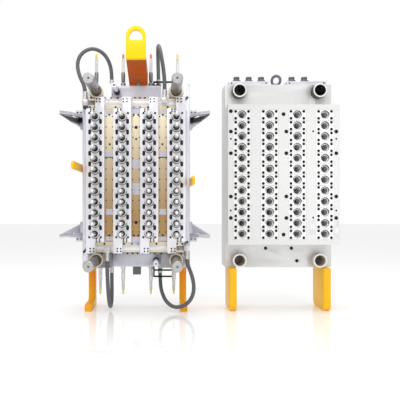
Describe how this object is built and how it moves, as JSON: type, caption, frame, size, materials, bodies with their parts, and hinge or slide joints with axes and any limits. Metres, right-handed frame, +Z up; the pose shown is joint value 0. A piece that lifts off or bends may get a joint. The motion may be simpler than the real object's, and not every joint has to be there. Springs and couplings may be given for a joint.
{
  "type": "preform mould",
  "caption": "Hot-runner injection mould for bottle preforms, shown open: core half with slides and guide pillars beside the cavity half, each on orange legs.",
  "frame": {"origin": "on the floor, below the middle of the whole, both halves counted", "axes": "X across the mould, Y towards the clamping faces at the back, Z up; both halves face -Y"},
  "size_m": [1.412, 0.467, 1.432],
  "materials": {
    "plate_steel": "ground, light grey with a lavender cast",
    "slide_steel": "bright ground",
    "core_steel": "polished",
    "pin_steel": "hardened and ground",
    "bronze": "dull sliding bronze",
    "orange_paint": "semi-gloss orange",
    "yellow_paint": "semi-gloss yellow",
    "hose_rubber": "matt dark grey",
    "fitting_steel": "plated",
    "clear_plastic": "milky, translucent",
    "cap_plastic": "moulded",
    "black_steel": "black",
    "box_paint": "grey-green"
  },
  "bodies": {
    "mould_base": {"core_clamp_plate": "plate_steel", "core_plate": "plate_steel", "cores": "core_steel", "guide_pillars": "pin_steel", "alignment_pins": "pin_steel", "latch_bolts": "fitting_steel", "lifting_bridge": "yellow_paint", "core_leg_left": "orange_paint", "core_leg_right": "orange_paint", "water_nipples": "fitting_steel", "nipple_sleeves": "clear_plastic", "nipple_caps": "cap_plastic", "plate_fittings": "fitting_steel", "hose_brackets": "black_steel", "sensor_box": "box_paint", "hot_half_clamp_plate": "plate_steel", "locating_ring": "pin_steel", "sprue_bush": "pin_steel", "manifold_plate": "plate_steel", "guide_bushes": "pin_steel", "cavity_plate": "plate_steel", "cavity_inserts": "slide_steel", "water_bars": "plate_steel", "water_couplings": "fitting_steel", "eye_bolt": "pin_steel", "cavity_leg_left": "orange_paint", "cavity_leg_right": "orange_paint", "hoses": "hose_rubber"},
    "stripper": {"stripper_plate": "plate_steel", "stripper_bushes": "bronze", "wear_strips": "bronze", "tie_bar_guides": "bronze", "drive_arms": "plate_steel", "arm_blocks": "plate_steel", "hose_elbows": "fitting_steel"},
    "slides_left": {"left_slides": "slide_steel", "left_tie_bar": "slide_steel"},
    "slides_right": {"right_slides": "slide_steel", "right_tie_bar": "slide_steel"},
    "strap_left": {"left_latch_strap": "orange_paint"},
    "strap_right": {"right_latch_strap": "orange_paint"}
  },
  "joints": [
    {"name": "eject_stroke", "type": "slide", "parent": "mould_base", "child": "stripper", "axis": [0, -1, 0], "range_m": [0, 0.06], "deforming": ["hoses"]},
    {"name": "left_slides_part", "type": "slide", "parent": "stripper", "child": "slides_left", "axis": [-1, 0, 0], "range_m": [0, 0.012]},
    {"name": "right_slides_part", "type": "slide", "parent": "stripper", "child": "slides_right", "axis": [1, 0, 0], "range_m": [0, 0.012]},
    {"name": "left_strap_swing", "type": "hinge", "parent": "mould_base", "child": "strap_left", "pos_m": [-0.6175, 0.1265, 0.748], "axis": [-1, 0, 0], "range_deg": [0, 50]},
    {"name": "right_strap_swing", "type": "hinge", "parent": "mould_base", "child": "strap_right", "pos_m": [-0.0395, 0.1265, 0.676], "axis": [-1, 0, 0], "range_deg": [0, 50]}
  ],
  "couplings": [
    {"joint": "left_slides_part", "follows": "eject_stroke", "ratio": 0.2},
    {"joint": "right_slides_part", "follows": "eject_stroke", "ratio": 0.2}
  ]
}
